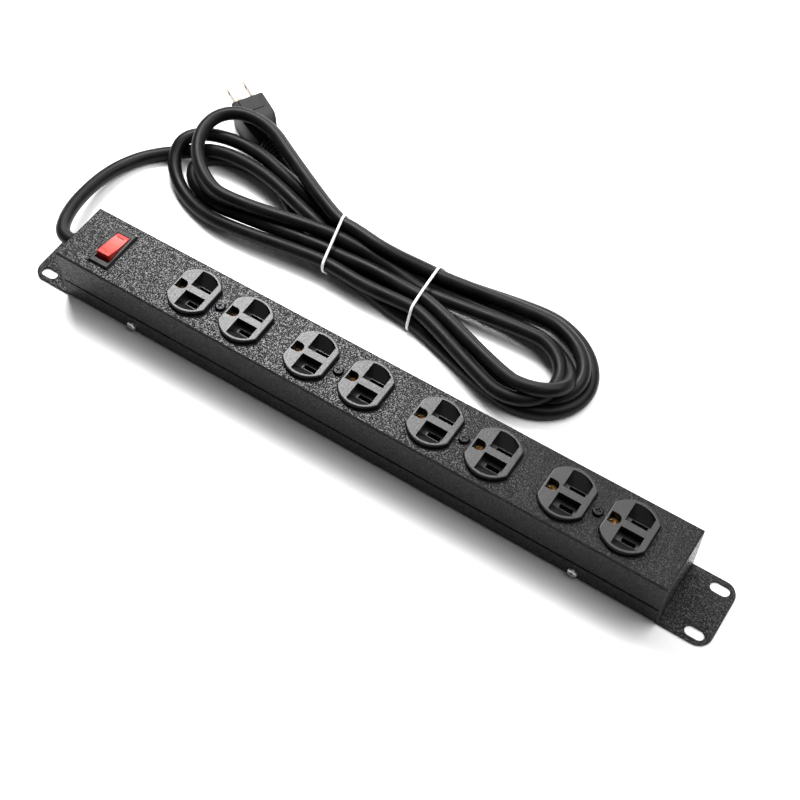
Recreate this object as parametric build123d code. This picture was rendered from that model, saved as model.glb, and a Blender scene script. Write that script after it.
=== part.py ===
from build123d import *
import math
import os

# Rack power strip: a one-unit, 19-inch steel channel with four duplex receptacles, an
# illuminated rocker switch and a moulded mains lead tied into a hank behind it.
# Frame: origin at the centre of the base's underside, +X along the strip away from the
# switch and lead, +Y towards the hank, +Z out of the receptacle faces. Millimetres.

# ---------------------------------------------------------------- driving dimensions
BODY_LENGTH = 425.6
BODY_WIDTH = 44.1
BODY_HEIGHT = 41.5
PANEL_LENGTH = 485.0
BASE_SHEET = 1.6
COVER_SHEET = 1.2
SLIDE_GAP = 0.1
SHADOW_GAP = 1.8
MOVING_GAP = 0.3

# rack slots in the ears
SLOT_SPACING_X = 465.1
SLOT_SPACING_Y = 31.75
SLOT_LENGTH = 12.0
SLOT_WIDTH = 6.8
EAR_CORNER_RADIUS = 8.5

# base pan and cover
BASE_WALL_TOP = 15.0
BASE_WALL_LENGTH = 421.6
BASE_BEND_RADIUS = 2.0
COVER_BEND_RADIUS = 1.3
COVER_LIP_BOTTOM = 2.6
COVER_SCREW_X = 158.5
COVER_SCREW_Z = 6.3
COVER_SCREW_SHANK_RADIUS = 1.7
COVER_SCREW_HOLE_RADIUS = 1.9

# duplex receptacles
DUPLEX_FIRST_X = -101.1
DUPLEX_PITCH = 86.36
DUPLEX_COUNT = 4
FACE_OFFSET = 19.45
FACE_RADIUS = 17.0
FACE_HALF_FLAT = 14.2
FACE_STANDOFF = 3.2
FACE_EDGE_RADIUS = 0.9
FACE_CLEARANCE = 0.25
GROUND_HOLE_X = -9.05
GROUND_HOLE_RADIUS = 3.5
GROUND_HOLE_DEPTH = 12.0
BLADE_SPACING = 12.7
BLADE_SLOT_WIDTH = 2.8
BLADE_SLOT_CENTRE_X = 3.4
NEUTRAL_SLOT_LENGTH = 10.0
LINE_SLOT_LENGTH = 8.6
RECESS_DEPTH = 6.2
RECESS_FLOOR_OUTER_Y = 8.0
RECESS_LEFT = -4.2
RECESS_RIGHT = 10.2
RECESS_INNER_Y = 2.25
RECESS_RADIUS = 15.1
BLOCK_HALF_LENGTH = 34.5
FRONT_HALF_WIDTH = 18.0
BACK_HALF_WIDTH = 16.0
BLOCK_SPLIT_Z = 28.0
BLOCK_BOTTOM_Z = 14.0
BLOCK_WALL = 2.0
CENTRE_SCREW_HOLE_RADIUS = 1.9
CENTRE_SCREW_SHANK_RADIUS = 1.6
GROUND_STRAP_SHEET = 0.9
GROUND_STRAP_HALF_WIDTH = 4.2
GROUND_CONTACT_OUTER = 3.2
GROUND_CONTACT_INNER = 2.6
CONTACT_SHEET = 0.8
CONTACT_GRIP = 1.5
CONTACT_HALF_LENGTH = 4.0
CONTACT_BAR_HALF_WIDTH = 3.0
TERMINAL_TAB_HALF_WIDTH = 3.5
TERMINAL_SCREW_RADIUS = 1.6

# rocker switch
SWITCH_X = -184.3
BEZEL_WIDTH = 16.1
BEZEL_LENGTH = 31.5
BEZEL_HEIGHT = 1.6
BEZEL_SLOPE = 1.4
SWITCH_BODY_WIDTH = 13.4
SWITCH_BODY_LENGTH = 28.0
SWITCH_BODY_BOTTOM = 17.0
SWITCH_WELL_WIDTH = 10.6
SWITCH_WELL_LENGTH = 23.0
SWITCH_FLOOR = 1.8
ROCKER_WIDTH = 10.0
ROCKER_TOP_WIDTH = 9.4
ROCKER_LENGTH = 20.4
ROCKER_PIVOT_Z = 38.5
ROCKER_RISE = 6.5
ROCKER_SKIRT = 3.0
ROCKER_WALL = 1.2
ROCKER_TILT = 10.0
TRUNNION_RADIUS = 1.5
TRUNNION_CLEARANCE = 0.05
PLUNGER_REACH = 15.1
ARM_PIVOT_Z = 22.6
ARM_TILT = 8.0
ARM_LENGTH = 17.0
ARM_WIDTH = 5.0
ARM_SHEET = 0.8
TERMINAL_BLADE_WIDTH = 4.8
TERMINAL_BLADE_BOTTOM = 7.0
TERMINAL_BLADE_Y = (-7.0, 0.0, 7.0)
PLUNGER_RADIUS = 1.3
PLUNGER_BORE_RADIUS = 1.9
SPRING_WIRE_RADIUS = 0.2
SPRING_COIL_RADIUS = 1.0
LAMP_RADIUS = 2.0
LAMP_TIP_Y = 6.4
LAMP_Z = 29.8

# wiring inside the case
WIRE_RADIUS = 1.4
GROUND_STUD_X = -204.0
GROUND_STUD_Y = -13.0
GROUND_STUD_RADIUS = 2.0
GROUND_STUD_TOP = 10.0
LANE_START_X = -160.0
WIRE_LANE_Y = 17.5
WIRE_LANE_Z = 10.8
WIRE_TERMINAL_Z = 9.5
CONDUCTOR_OFFSET = 2.2
JACKET_INSIDE = 11.5

# lead, strain relief and plug
CORD_DIAMETER = 9.2
CORD_RADIUS = CORD_DIAMETER / 2
EXIT_Y = 2.5
EXIT_Z = 20.5
RELIEF_HOLE_RADIUS = 8.2
RELIEF_NECK_RADIUS = 8.0
RELIEF_HEAD_RADIUS = 9.6
RELIEF_HEAD_LENGTH = 8.0
RELIEF_TAIL_LENGTH = 3.5
RELIEF_INNER_LENGTH = 9.0
PLUG_FACE = (-205.4, 165.3)
PLUG_HEADING = -29.5
PLUG_WIDTH = 23.6
PLUG_HEIGHT = 23.0
PLUG_CORD_Z = 11.5
PLUG_STRAIGHT = 22.0
PLUG_BODY_LENGTH = 34.0
PLUG_RELIEF_END = 55.0
PLUG_BLADE_Z = 16.0
PLUG_PIN_Z = 4.1
BLADE_LENGTH = 20.5
BLADE_ROOT = 6.0
BLADE_THICKNESS = 1.5
BLADE_WIDTH = 6.4
BLADE_HOLE_RADIUS = 1.6
BLADE_HOLE_X = -15.0
PIN_RADIUS = 2.4
PIN_LENGTH = 16.0

# hank: plan outlines as chains of discs, each centre X, centre Y and radius
HANK_DISCS = [(-198, 108, 31.5), (-150, 100, 31), (-84, 95.5, 20), (-15, 96.8, 24.6), (20, 94.3, 31.8), (70, 91, 40.5)]
HANK_HEIGHT = 22.0
TOP_LOOP_DISCS = [(-186, 124, 29.5), (-152, 111, 30), (-104, 104, 14)]
TOP_LOOP_BOTTOM = 23.5
TOP_LOOP_HEIGHT = 32.4
TIE_DISCS = (2, 3)
TIE_WIDTH = 2.4
TIE_THICKNESS = 1.2
TIE_CLEARANCE = 1.8

# derived places
HALF_LENGTH = BODY_LENGTH / 2
HALF_WIDTH = BODY_WIDTH / 2
COVER_INNER_Z = BODY_HEIGHT - COVER_SHEET
FLANGE_BOTTOM = BASE_WALL_TOP + SHADOW_GAP
LIP_OUTER_Y = HALF_WIDTH - BASE_SHEET - SLIDE_GAP
END_FLAP_BOTTOM = BASE_SHEET
FACE_TOP_Z = BODY_HEIGHT + FACE_STANDOFF
BEZEL_TOP_Z = BODY_HEIGHT + BEZEL_HEIGHT
DUPLEX_X = [DUPLEX_FIRST_X + DUPLEX_PITCH * index for index in range(DUPLEX_COUNT)]
CONTACT_BAR_Z = BLOCK_BOTTOM_Z + BLOCK_WALL
TERMINAL_Z = BLOCK_BOTTOM_Z + 5.0
FULCRUM_TOP = ARM_PIVOT_Z - ARM_SHEET / 2 - MOVING_GAP
CONTACT_TOP = SWITCH_BODY_BOTTOM + SWITCH_FLOOR + 1.4
JACKET_END_X = -HALF_LENGTH + JACKET_INSIDE
RELIEF_HEAD_X = -HALF_LENGTH - RELIEF_HEAD_LENGTH
RELIEF_TIP_X = RELIEF_HEAD_X - RELIEF_TAIL_LENGTH

# Hand-placed route of the lead from the strain relief to the hank.
LEAD_POINTS = [
    (RELIEF_TIP_X, EXIT_Y, EXIT_Z),
    (-231, EXIT_Y, EXIT_Z),
    (-237.5, 7.5, 20),
    (-243.8, 20, 18),
    (-248.5, 35.5, 14.5),
    (-251, 51.5, 11),
    (-251.5, 67, 8),
    (-248.8, 81.5, 5.8),
    (-242.5, 94.5, 4.8),
    (-233.5, 104.5, CORD_RADIUS),
]

# Hand-placed route of the cord between the plug and the hank.
TAIL_POINTS = [(-157.5, 138.2, PLUG_CORD_Z), (-149, 133.7, 11.2), (-143, 130.9, 9.8)]

DOWN = Align.MAX
MID = Align.CENTER
UP = Align.MIN


# ---------------------------------------------------------------- small helpers
def block(x_low, x_high, y_low, y_high, z_low, z_high):
    """A box between two corners."""
    size = (x_high - x_low, y_high - y_low, z_high - z_low)
    return Pos(x_low, y_low, z_low) * Box(*size, align=(UP, UP, UP))


def rod(start, end, radius):
    """A round bar from one point to another."""
    axis = Vector(*end) - Vector(*start)
    base = Plane(origin=start, z_dir=axis)
    return base * Cylinder(radius, axis.length, align=(MID, MID, UP))


def mirrored_y(shape):
    """The shape and its mirror image across the XZ plane."""
    return [shape, mirror(shape, about=Plane.XZ)]


def grouped(shapes):
    """Separate solids kept together in one node."""
    return Compound(children=list(shapes))


def tube_path(points):
    """Straight runs joined by arcs as large as 0.45 of the shorter run allows."""
    vectors = [Vector(*point) for point in points]
    radii = []
    for before, corner, after in zip(vectors, vectors[1:], vectors[2:]):
        run_in = corner - before
        run_out = after - corner
        turn = math.radians(run_in.get_angle(run_out))
        radii.append(0.45 * min(run_in.length, run_out.length) / math.tan(turn / 2))
    return FilletPolyline(*points, radius=radii), radii


def tube(points, radius):
    """A round tube swept along a filleted route."""
    path, radii = tube_path(points)
    section = Plane(origin=path @ 0, z_dir=path % 0) * Circle(radius)
    solid = sweep(section, path=path)
    return solid, path, radii


def checked_tube(name, points, radius):
    """A tube whose volume and bend radii are printed for checking."""
    solid, path, radii = tube(points, radius)
    expected = math.pi * radius ** 2 * path.length
    print(f"{name}: length {path.length:.0f}, volume / expected {solid.volume / expected:.4f}")
    print("   bend radii", [round(value) for value in radii])
    return solid


# ---------------------------------------------------------------- sheet-metal case
def ear_slots(z_low, z_high):
    """The four rack slots as cutters, long along X."""
    slot = extrude(SlotOverall(SLOT_LENGTH, SLOT_WIDTH), z_high - z_low)
    places = []
    for x in (-SLOT_SPACING_X / 2, SLOT_SPACING_X / 2):
        for y in (-SLOT_SPACING_Y / 2, SLOT_SPACING_Y / 2):
            places.append(Pos(x, y, z_low) * slot)
    return places


def cover_screw_places():
    """Side and X place of each cover screw, as (sign of Y, X)."""
    return [(side, x) for side in (-1, 1) for x in (-COVER_SCREW_X, COVER_SCREW_X)]


def make_base_pan():
    """Bottom plate with rack ears, two bent-up walls and a ground stud."""
    plate = RectangleRounded(PANEL_LENGTH, BODY_WIDTH, EAR_CORNER_RADIUS)
    pan = extrude(plate, BASE_SHEET)
    pan -= ear_slots(-1, BASE_SHEET + 1)
    channel = block(-BASE_WALL_LENGTH / 2, BASE_WALL_LENGTH / 2, -HALF_WIDTH, HALF_WIDTH, 0, BASE_WALL_TOP)
    long_bottom = channel.edges().filter_by(Axis.X).group_by(Axis.Z)[0]
    channel = fillet(long_bottom, BASE_BEND_RADIUS)
    inner = block(-HALF_LENGTH, HALF_LENGTH, BASE_SHEET - HALF_WIDTH, HALF_WIDTH - BASE_SHEET,
                  BASE_SHEET, BASE_WALL_TOP + 1)
    edge_strip = block(-BASE_WALL_LENGTH / 2, BASE_WALL_LENGTH / 2, -HALF_WIDTH - 1, HALF_WIDTH + 1,
                       -1, BASE_SHEET)
    pan = (pan - edge_strip) + (channel - inner)
    for side, x in cover_screw_places():
        pan -= rod((x, side * (HALF_WIDTH + 1), COVER_SCREW_Z),
                   (x, side * (HALF_WIDTH - BASE_SHEET - 1), COVER_SCREW_Z), COVER_SCREW_HOLE_RADIUS)
    pan += rod((GROUND_STUD_X, GROUND_STUD_Y, BASE_SHEET), (GROUND_STUD_X, GROUND_STUD_Y, GROUND_STUD_TOP),
               GROUND_STUD_RADIUS)
    return pan


def face_outline(radius, half_flat):
    """A circle cut by two flats that face +X and -X."""
    return Circle(radius) & Rectangle(2 * half_flat, 2 * radius + 1)


def cover_cutouts():
    """Holes in the top of the cover for the faces, centre screws and switch."""
    cutters = []
    depth = COVER_SHEET + 2
    z_low = COVER_INNER_Z - 1
    outline = face_outline(FACE_RADIUS + FACE_CLEARANCE, FACE_HALF_FLAT + FACE_CLEARANCE)
    for centre in DUPLEX_X:
        for side in (-1, 1):
            cutters.append(Pos(centre + side * FACE_OFFSET, 0, z_low) * extrude(outline, depth))
        cutters.append(rod((centre, 0, z_low), (centre, 0, z_low + depth), CENTRE_SCREW_HOLE_RADIUS))
    window = Rectangle(SWITCH_BODY_WIDTH + 2 * SLIDE_GAP, SWITCH_BODY_LENGTH + 2 * SLIDE_GAP)
    cutters.append(Pos(SWITCH_X, 0, z_low) * extrude(window, depth))
    return cutters


def make_top_cover():
    """Folded cover: top, side flanges with a set-in lip, and two end flaps."""
    shell = block(-HALF_LENGTH, HALF_LENGTH, -HALF_WIDTH, HALF_WIDTH, END_FLAP_BOTTOM, BODY_HEIGHT)
    top_edges = shell.edges().group_by(Axis.Z)[-1]
    shell = fillet(top_edges, COVER_BEND_RADIUS)
    inside = block(COVER_SHEET - HALF_LENGTH, HALF_LENGTH - COVER_SHEET,
                   COVER_SHEET - HALF_WIDTH, HALF_WIDTH - COVER_SHEET, 0, COVER_INNER_Z)
    shell -= inside
    wall_end = BASE_WALL_LENGTH / 2 + MOVING_GAP
    for side in mirrored_y(block(-wall_end, wall_end, LIP_OUTER_Y, HALF_WIDTH + 1, 0, FLANGE_BOTTOM)):
        shell -= side
    lip = block(-wall_end, wall_end, LIP_OUTER_Y - COVER_SHEET, LIP_OUTER_Y, COVER_LIP_BOTTOM, FLANGE_BOTTOM)
    joggle = block(-wall_end, wall_end, LIP_OUTER_Y - COVER_SHEET, HALF_WIDTH - COVER_SHEET / 2,
                   FLANGE_BOTTOM, FLANGE_BOTTOM + COVER_SHEET)
    for piece in mirrored_y(lip + joggle):
        shell += piece
    for side, x in cover_screw_places():
        shell -= rod((x, side * (HALF_WIDTH + 1), COVER_SCREW_Z),
                     (x, side * (LIP_OUTER_Y - COVER_SHEET - 1), COVER_SCREW_Z), COVER_SCREW_SHANK_RADIUS)
    for cutter in cover_cutouts():
        shell -= cutter
    shell -= rod((-HALF_LENGTH - 1, EXIT_Y, EXIT_Z), (-HALF_LENGTH + COVER_SHEET + 1, EXIT_Y, EXIT_Z),
                 RELIEF_HOLE_RADIUS)
    return shell


def cross_recess(size, depth):
    """The two crossed slots of a cross-head screw, cut down from z = 0."""
    arm = Box(size, size / 4, depth, align=(MID, MID, DOWN))
    return arm + Rot(0, 0, 90) * arm


def pan_screw(head_radius, head_height, shank_radius, shank_length):
    """A cross-head pan screw with its head above z = 0 and its shank below."""
    head = Cylinder(head_radius, head_height, align=(MID, MID, UP))
    head = fillet(head.edges().group_by(Axis.Z)[-1], head_height * 0.6)
    shank = Cylinder(shank_radius, shank_length, align=(MID, MID, DOWN))
    recess = Pos(0, 0, head_height) * cross_recess(head_radius * 1.1, head_height * 0.6)
    return head + shank - recess


def make_cover_screws():
    """Four bright pan screws through the base walls into the cover's lips."""
    screw = pan_screw(3.2, 1.9, COVER_SCREW_SHANK_RADIUS, 6.0)
    screws = []
    for side, x in cover_screw_places():
        turned = Rot(90 * -side, 0, 0) * screw
        screws.append(Pos(x, side * HALF_WIDTH, COVER_SCREW_Z) * turned)
    return grouped(screws)


# ---------------------------------------------------------------- duplex receptacles
def recess_outline(side):
    """Top outline of a blade recess, on the +Y or -Y side of the centre bar."""
    left_y = math.sqrt(RECESS_RADIUS ** 2 - RECESS_LEFT ** 2)
    right_y = math.sqrt(RECESS_RADIUS ** 2 - RECESS_RIGHT ** 2)
    middle_x = (RECESS_LEFT + RECESS_RIGHT) / 2
    middle_y = math.sqrt(RECESS_RADIUS ** 2 - middle_x ** 2)
    base_line = Line((RECESS_LEFT, RECESS_INNER_Y), (RECESS_RIGHT, RECESS_INNER_Y))
    right_line = Line((RECESS_RIGHT, RECESS_INNER_Y), (RECESS_RIGHT, right_y))
    outer_arc = ThreePointArc((RECESS_RIGHT, right_y), (middle_x, middle_y), (RECESS_LEFT, left_y))
    left_line = Line((RECESS_LEFT, left_y), (RECESS_LEFT, RECESS_INNER_Y))
    outline = make_face([base_line, right_line, outer_arc, left_line])
    return outline if side > 0 else mirror(outline, about=Plane.XZ)


def blade_recess(side, slot_length):
    """A recess whose outer side ramps down to a small floor with the blade slot in it."""
    floor_z = FACE_TOP_Z - RECESS_DEPTH
    prism = Pos(0, 0, floor_z) * extrude(recess_outline(side), RECESS_DEPTH + 1)
    profile = Plane.YZ * make_face(Polyline(
        (0, floor_z), (side * RECESS_FLOOR_OUTER_Y, floor_z), (side * RECESS_RADIUS, FACE_TOP_Z),
        (side * RECESS_RADIUS, FACE_TOP_Z + 1), (0, FACE_TOP_Z + 1), close=True))
    ramp = prism & extrude(profile, FACE_RADIUS, both=True)
    slot = Pos(BLADE_SLOT_CENTRE_X, side * BLADE_SPACING / 2) * Rectangle(slot_length, BLADE_SLOT_WIDTH)
    shaft = Pos(0, 0, BLOCK_SPLIT_Z - 1) * extrude(slot, floor_z - BLOCK_SPLIT_Z + 2)
    return [ramp, shaft]


def ground_hole():
    """A D-shaped hole, flat towards -X."""
    outline = Circle(GROUND_HOLE_RADIUS) + Pos(-GROUND_HOLE_RADIUS / 2, 0) * Rectangle(
        GROUND_HOLE_RADIUS, 2 * GROUND_HOLE_RADIUS)
    bore = Circle(GROUND_CONTACT_OUTER)
    upper = Pos(GROUND_HOLE_X, 0, FACE_TOP_Z - GROUND_HOLE_DEPTH / 2) * extrude(outline, GROUND_HOLE_DEPTH)
    lower = Pos(GROUND_HOLE_X, 0, BLOCK_SPLIT_Z - 1) * extrude(bore, GROUND_HOLE_DEPTH + 4)
    return [upper, lower]


def make_receptacle_front(centre):
    """Moulded front: two faces that stand through the cover on one block."""
    body = block(-BLOCK_HALF_LENGTH, BLOCK_HALF_LENGTH, -FRONT_HALF_WIDTH, FRONT_HALF_WIDTH,
                 BLOCK_SPLIT_Z, COVER_INNER_Z)
    for side in (-1, 1):
        prism = extrude(face_outline(FACE_RADIUS, FACE_HALF_FLAT), FACE_TOP_Z - COVER_INNER_Z)
        prism = fillet(prism.edges().group_by(Axis.Z)[-1], FACE_EDGE_RADIUS)
        body += Pos(side * FACE_OFFSET, 0, COVER_INNER_Z) * prism
    for side in (-1, 1):
        place = Pos(side * FACE_OFFSET, 0, 0)
        cutters = blade_recess(1, NEUTRAL_SLOT_LENGTH) + blade_recess(-1, LINE_SLOT_LENGTH) + ground_hole()
        for cutter in cutters:
            body -= place * cutter
    body -= rod((0, 0, BLOCK_SPLIT_Z - 1), (0, 0, COVER_INNER_Z + 1), CENTRE_SCREW_HOLE_RADIUS)
    return Pos(centre, 0, 0) * body


def make_receptacle_back(centre):
    """Moulded back with a trough for each contact strip and a seat for the strap."""
    body = block(-BLOCK_HALF_LENGTH, BLOCK_HALF_LENGTH, -BACK_HALF_WIDTH, BACK_HALF_WIDTH,
                 BLOCK_BOTTOM_Z, BLOCK_SPLIT_Z)
    trough_end = BLOCK_HALF_LENGTH - BLOCK_WALL
    trough_inner = GROUND_STRAP_HALF_WIDTH - 1.2
    trough_outer = BLADE_SPACING / 2 + CONTACT_BAR_HALF_WIDTH + 0.6
    trough = block(-trough_end, trough_end, trough_inner, trough_outer, CONTACT_BAR_Z, BLOCK_SPLIT_Z + 1)
    passage = block(-TERMINAL_TAB_HALF_WIDTH - 0.2, TERMINAL_TAB_HALF_WIDTH + 0.2, trough_inner,
                    BACK_HALF_WIDTH + 1, CONTACT_BAR_Z, TERMINAL_Z + 4)
    for cutter in mirrored_y(trough + passage):
        body -= cutter
    body -= block(-trough_end, trough_end, -GROUND_STRAP_HALF_WIDTH, GROUND_STRAP_HALF_WIDTH,
                  BLOCK_SPLIT_Z - GROUND_STRAP_SHEET, BLOCK_SPLIT_Z + 1)
    body -= rod((0, 0, BLOCK_BOTTOM_Z + 3), (0, 0, BLOCK_SPLIT_Z + 1), CENTRE_SCREW_HOLE_RADIUS)
    return Pos(centre, 0, 0) * body


def contact_strip(side):
    """A brass strip with two blade grips and a terminal tab, on the +Y or -Y side."""
    strip_y = BLADE_SPACING / 2
    bar_end = FACE_OFFSET + BLADE_SLOT_CENTRE_X + CONTACT_HALF_LENGTH
    strip = block(-bar_end, bar_end, strip_y - CONTACT_BAR_HALF_WIDTH, strip_y + CONTACT_BAR_HALF_WIDTH,
                  CONTACT_BAR_Z, CONTACT_BAR_Z + CONTACT_SHEET)
    for face in (-1, 1):
        centre = face * FACE_OFFSET + BLADE_SLOT_CENTRE_X
        for leaf_y in (strip_y - CONTACT_GRIP / 2 - CONTACT_SHEET, strip_y + CONTACT_GRIP / 2):
            strip += block(centre - CONTACT_HALF_LENGTH, centre + CONTACT_HALF_LENGTH, leaf_y,
                           leaf_y + CONTACT_SHEET, CONTACT_BAR_Z, BLOCK_SPLIT_Z - 1.0)
    strip += block(-TERMINAL_TAB_HALF_WIDTH, TERMINAL_TAB_HALF_WIDTH, strip_y, BACK_HALF_WIDTH + CONTACT_SHEET,
                   CONTACT_BAR_Z, CONTACT_BAR_Z + CONTACT_SHEET)
    strip += block(-TERMINAL_TAB_HALF_WIDTH, TERMINAL_TAB_HALF_WIDTH, BACK_HALF_WIDTH,
                   BACK_HALF_WIDTH + CONTACT_SHEET, CONTACT_BAR_Z, TERMINAL_Z + 3.5)
    strip -= rod((0, BACK_HALF_WIDTH - 1, TERMINAL_Z), (0, BACK_HALF_WIDTH + 2, TERMINAL_Z),
                 TERMINAL_SCREW_RADIUS)
    return strip if side > 0 else mirror(strip, about=Plane.XZ)


def make_ground_strap(centre):
    """Steel strap between the halves, with a brass-lined grip under each ground hole."""
    strap_end = BLOCK_HALF_LENGTH - BLOCK_WALL
    strap = block(-strap_end, strap_end, -GROUND_STRAP_HALF_WIDTH, GROUND_STRAP_HALF_WIDTH,
                  BLOCK_SPLIT_Z - GROUND_STRAP_SHEET, BLOCK_SPLIT_Z)
    strap -= rod((0, 0, BLOCK_SPLIT_Z - 2), (0, 0, BLOCK_SPLIT_Z + 1), CENTRE_SCREW_SHANK_RADIUS)
    return Pos(centre, 0, 0) * strap


def make_ground_contacts(centre):
    """Two split brass sleeves that grip a plug's ground pin."""
    sleeve = Cylinder(GROUND_CONTACT_OUTER, GROUND_HOLE_DEPTH - 1.5, align=(MID, MID, UP))
    sleeve -= Cylinder(GROUND_CONTACT_INNER, GROUND_HOLE_DEPTH, align=(MID, MID, UP))
    sleeve -= Pos(-GROUND_CONTACT_OUTER, 0, 0) * Box(GROUND_CONTACT_OUTER, 2.0, GROUND_HOLE_DEPTH,
                                                     align=(MID, MID, UP))
    places = [Pos(centre + side * FACE_OFFSET + GROUND_HOLE_X, 0, BLOCK_SPLIT_Z) for side in (-1, 1)]
    return grouped(place * sleeve for place in places)


def make_centre_screw(centre):
    """Black screw that pulls the receptacle up against the cover."""
    shank_length = BODY_HEIGHT - BLOCK_SPLIT_Z + GROUND_STRAP_SHEET + 2
    return Pos(centre, 0, BODY_HEIGHT) * pan_screw(3.3, 1.7, CENTRE_SCREW_SHANK_RADIUS, shank_length)


def make_terminal_screws(centre):
    """One wiring screw on each side of a receptacle."""
    screw = pan_screw(3.0, 1.0, TERMINAL_SCREW_RADIUS, 2.6)
    screws = []
    for side in (-1, 1):
        turned = Rot(90 * -side, 0, 0) * screw
        screws.append(Pos(centre, side * (BACK_HALF_WIDTH + CONTACT_SHEET), TERMINAL_Z) * turned)
    return grouped(screws)


# ---------------------------------------------------------------- rocker switch
def rocker_place():
    """Turns the level rocker about its pivot to the rest position, front end raised."""
    return Pos(SWITCH_X, 0, ROCKER_PIVOT_Z) * Rot(-ROCKER_TILT, 0, 0)


def make_switch_housing():
    """Bezel with sloped sides over a deep well, open at the top for the rocker."""
    bezel_foot = Rectangle(BEZEL_WIDTH, BEZEL_LENGTH)
    bezel_crown = Rectangle(BEZEL_WIDTH - 2 * BEZEL_SLOPE, BEZEL_LENGTH - 2 * BEZEL_SLOPE)
    housing = loft([Pos(0, 0, BODY_HEIGHT) * bezel_foot, Pos(0, 0, BEZEL_TOP_Z) * bezel_crown], ruled=True)
    half_width = SWITCH_BODY_WIDTH / 2
    half_length = SWITCH_BODY_LENGTH / 2
    housing += block(-half_width, half_width, -half_length, half_length, SWITCH_BODY_BOTTOM, BODY_HEIGHT)
    well_half_width = SWITCH_WELL_WIDTH / 2
    well_half_length = SWITCH_WELL_LENGTH / 2
    housing -= block(-well_half_width, well_half_width, -well_half_length, well_half_length,
                     SWITCH_BODY_BOTTOM + SWITCH_FLOOR, BEZEL_TOP_Z + 1)
    housing -= rod((-half_width + 0.4, 0, ROCKER_PIVOT_Z), (half_width - 0.4, 0, ROCKER_PIVOT_Z),
                   TRUNNION_RADIUS + TRUNNION_CLEARANCE)
    for y in TERMINAL_BLADE_Y:
        housing -= block(-TERMINAL_BLADE_WIDTH / 2, TERMINAL_BLADE_WIDTH / 2, y - CONTACT_SHEET / 2,
                         y + CONTACT_SHEET / 2, SWITCH_BODY_BOTTOM - 1, SWITCH_BODY_BOTTOM + SWITCH_FLOOR + 1)
    return Pos(SWITCH_X, 0, 0) * housing


def make_switch_rocker():
    """Hollow translucent rocker with a shallow dished top and two trunnions."""
    half_length = ROCKER_LENGTH / 2
    low = Pos(0, 0, -ROCKER_SKIRT) * Rectangle(ROCKER_WIDTH, ROCKER_LENGTH)
    high = Pos(0, 0, ROCKER_RISE) * Rectangle(ROCKER_TOP_WIDTH, ROCKER_LENGTH)
    shell = loft([low, high], ruled=True)
    shell = fillet(shell.edges().group_by(Axis.Z)[-1], 0.4)
    dish_radius = 4 * ROCKER_LENGTH
    dish_depth = 0.35
    dish = rod((-ROCKER_WIDTH, 0, ROCKER_RISE + dish_radius - dish_depth),
               (ROCKER_WIDTH, 0, ROCKER_RISE + dish_radius - dish_depth), dish_radius)
    shell -= dish
    hollow_half_width = ROCKER_TOP_WIDTH / 2 - ROCKER_WALL
    shell -= block(-hollow_half_width, hollow_half_width, ROCKER_WALL - half_length, half_length - ROCKER_WALL,
                   -ROCKER_SKIRT - 1, ROCKER_RISE - 1.6)
    boss = Pos(0, 0, -ROCKER_SKIRT - 4) * Cylinder(2.8, ROCKER_RISE + ROCKER_SKIRT + 3, align=(MID, MID, UP))
    shell += boss
    shell -= Pos(0, 0, -ROCKER_SKIRT - 5) * Cylinder(PLUNGER_BORE_RADIUS, 11, align=(MID, MID, UP))
    pin_reach = SWITCH_BODY_WIDTH / 2 - 0.8
    for side in (-1, 1):
        shell += rod((side * (ROCKER_TOP_WIDTH / 2 - 0.2), 0, 0), (side * pin_reach, 0, 0), TRUNNION_RADIUS)
    mark_y = half_length - 3.2
    shell -= block(-2.9, 2.9, mark_y - 0.4, mark_y + 0.4, ROCKER_RISE - 0.5, ROCKER_RISE + 1)
    ring = Cylinder(1.3, 2) - Cylinder(0.8, 3)
    shell -= Pos(0, -mark_y, ROCKER_RISE + 0.7) * ring
    return rocker_place() * shell


def make_switch_plunger():
    """Round-nosed pin in the rocker's boss that works the contact arm."""
    stem = Pos(0, 0, -PLUNGER_REACH + PLUNGER_RADIUS) * Cylinder(PLUNGER_RADIUS, 9.0, align=(MID, MID, UP))
    nose = Pos(0, 0, -PLUNGER_REACH + PLUNGER_RADIUS) * Sphere(PLUNGER_RADIUS)
    collar = Pos(0, 0, -6.6) * Cylinder(PLUNGER_BORE_RADIUS - 0.02, 1.2, align=(MID, MID, UP))
    return rocker_place() * (stem + nose + collar)


def make_switch_spring():
    """Coil spring above the plunger, inside the rocker's boss."""
    height = 6.4
    coil = Helix(pitch=1.4, height=height, radius=SPRING_COIL_RADIUS)
    section = Plane(origin=coil @ 0, z_dir=coil % 0) * Circle(SPRING_WIRE_RADIUS)
    spring = sweep(section, path=coil, is_frenet=True)
    return rocker_place() * Pos(0, 0, -4.0) * spring


def make_contact_arm():
    """Seesaw that rocks on the middle terminal and closes the circuit at one end."""
    half_length = ARM_LENGTH / 2
    arm = block(-ARM_WIDTH / 2, ARM_WIDTH / 2, -half_length, half_length, -ARM_SHEET / 2, ARM_SHEET / 2)
    arm += Pos(0, -half_length + 1.6, -ARM_SHEET / 2) * Cylinder(1.4, 0.7, align=(MID, MID, DOWN))
    return Pos(SWITCH_X, 0, ARM_PIVOT_Z) * Rot(ARM_TILT, 0, 0) * arm


def make_switch_terminals():
    """Load, line and neutral blades through the switch floor."""
    tops = (CONTACT_TOP, FULCRUM_TOP, CONTACT_TOP)
    blades = []
    for y, top in zip(TERMINAL_BLADE_Y, tops):
        blade = block(-TERMINAL_BLADE_WIDTH / 2, TERMINAL_BLADE_WIDTH / 2, y - CONTACT_SHEET / 2,
                      y + CONTACT_SHEET / 2, TERMINAL_BLADE_BOTTOM, top)
        blades.append(Pos(SWITCH_X, 0, 0) * blade)
    return grouped(blades)


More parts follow.
